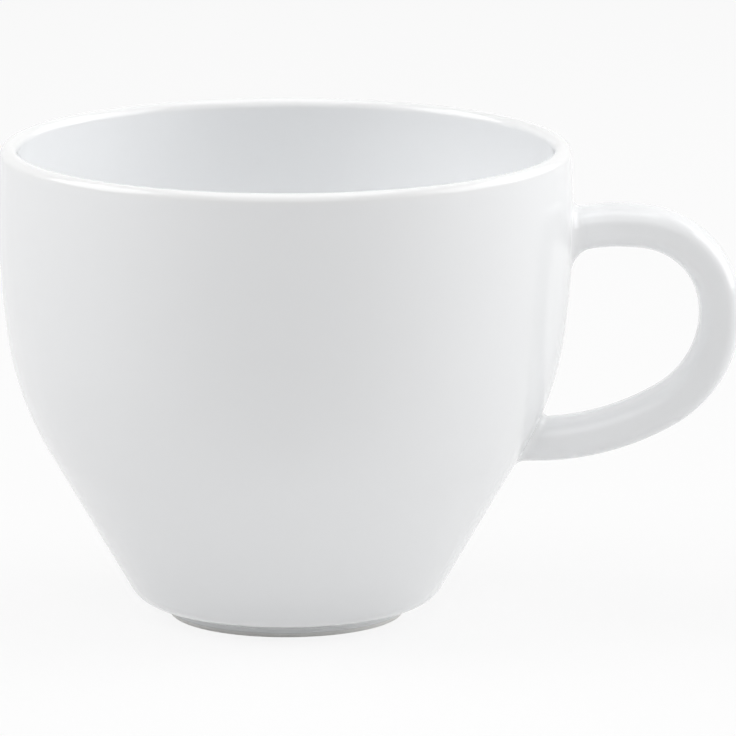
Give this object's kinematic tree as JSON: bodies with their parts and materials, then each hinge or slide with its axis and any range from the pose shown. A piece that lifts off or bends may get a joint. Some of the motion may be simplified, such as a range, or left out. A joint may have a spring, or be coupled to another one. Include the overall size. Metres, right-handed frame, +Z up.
{
  "type": "cafe au lait cup",
  "caption": "Large white glazed porcelain cup with a rounded bowl, tapering to a small foot ring, and one D-shaped strap handle.",
  "frame": {"origin": "on the bowl's axis, in the plane of the foot ring's standing edge", "axes": "+Z up along the bowl's axis, +X towards the handle"},
  "size_m": [0.1368, 0.1058, 0.088],
  "materials": {
    "porcelain": "fired, unglazed, ground smooth",
    "glaze": "clear gloss glaze over white porcelain"
  },
  "bodies": {
    "root": {"bowl": "porcelain", "handle": "porcelain", "upper_slip_joint": "glaze", "lower_slip_joint": "glaze", "bowl_glaze": "glaze", "handle_glaze": "glaze", "base_glaze": "glaze"}
  },
  "joints": []
}
